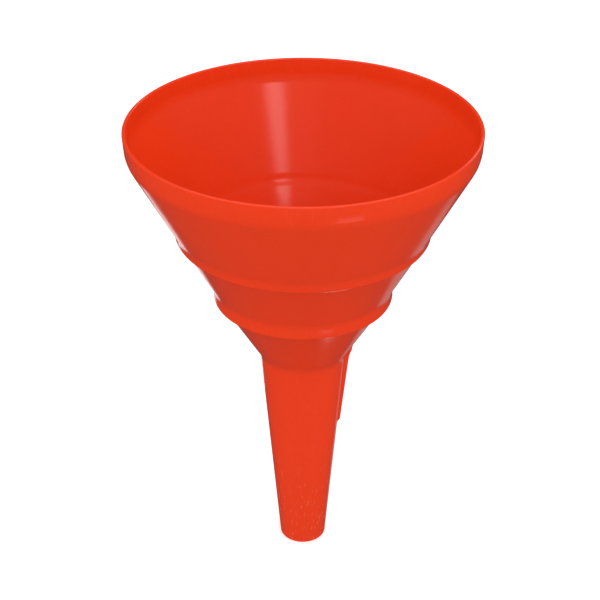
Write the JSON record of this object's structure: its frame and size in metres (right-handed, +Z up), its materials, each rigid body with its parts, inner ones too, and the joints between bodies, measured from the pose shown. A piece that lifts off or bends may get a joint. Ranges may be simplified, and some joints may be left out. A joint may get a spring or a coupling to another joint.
{
  "type": "funnel",
  "caption": "Round fuel funnel: stepped conical bowl, long tapered spout with a vent rib, and a lift-out gauze strainer with a folding wire bail.",
  "frame": {"origin": "centre of the spout's outlet, on its end face", "axes": "+Z up the funnel's axis to the rim, +X towards the spout's vent rib, -Y towards the side where the strainer's bail lies folded"},
  "size_m": [0.16, 0.16, 0.2286],
  "materials": {
    "moulded_polyethylene": "glossy injection-moulded polyethylene, red-orange, coloured through",
    "strainer_polyethylene": "the same red-orange polyethylene, satin",
    "brass_gauze": "woven brass wire cloth",
    "stainless_wire": "drawn stainless spring wire, bright"
  },
  "bodies": {
    "funnel": {"funnel_body": "moulded_polyethylene"},
    "strainer": {"strainer_frame": "strainer_polyethylene", "strainer_gauze": "brass_gauze", "strainer_clamp_ring": "strainer_polyethylene"},
    "bail": {"strainer_bail": "stainless_wire"}
  },
  "joints": [
    {"name": "strainer_lift", "type": "slide", "parent": "funnel", "child": "strainer", "axis": [0, 0, 1], "range_m": [0, 0.1]},
    {"name": "bail_fold", "type": "hinge", "parent": "strainer", "child": "bail", "pos_m": [0, 0, 0.1493], "axis": [-1, 0, 0], "range_deg": [0, 180]}
  ]
}
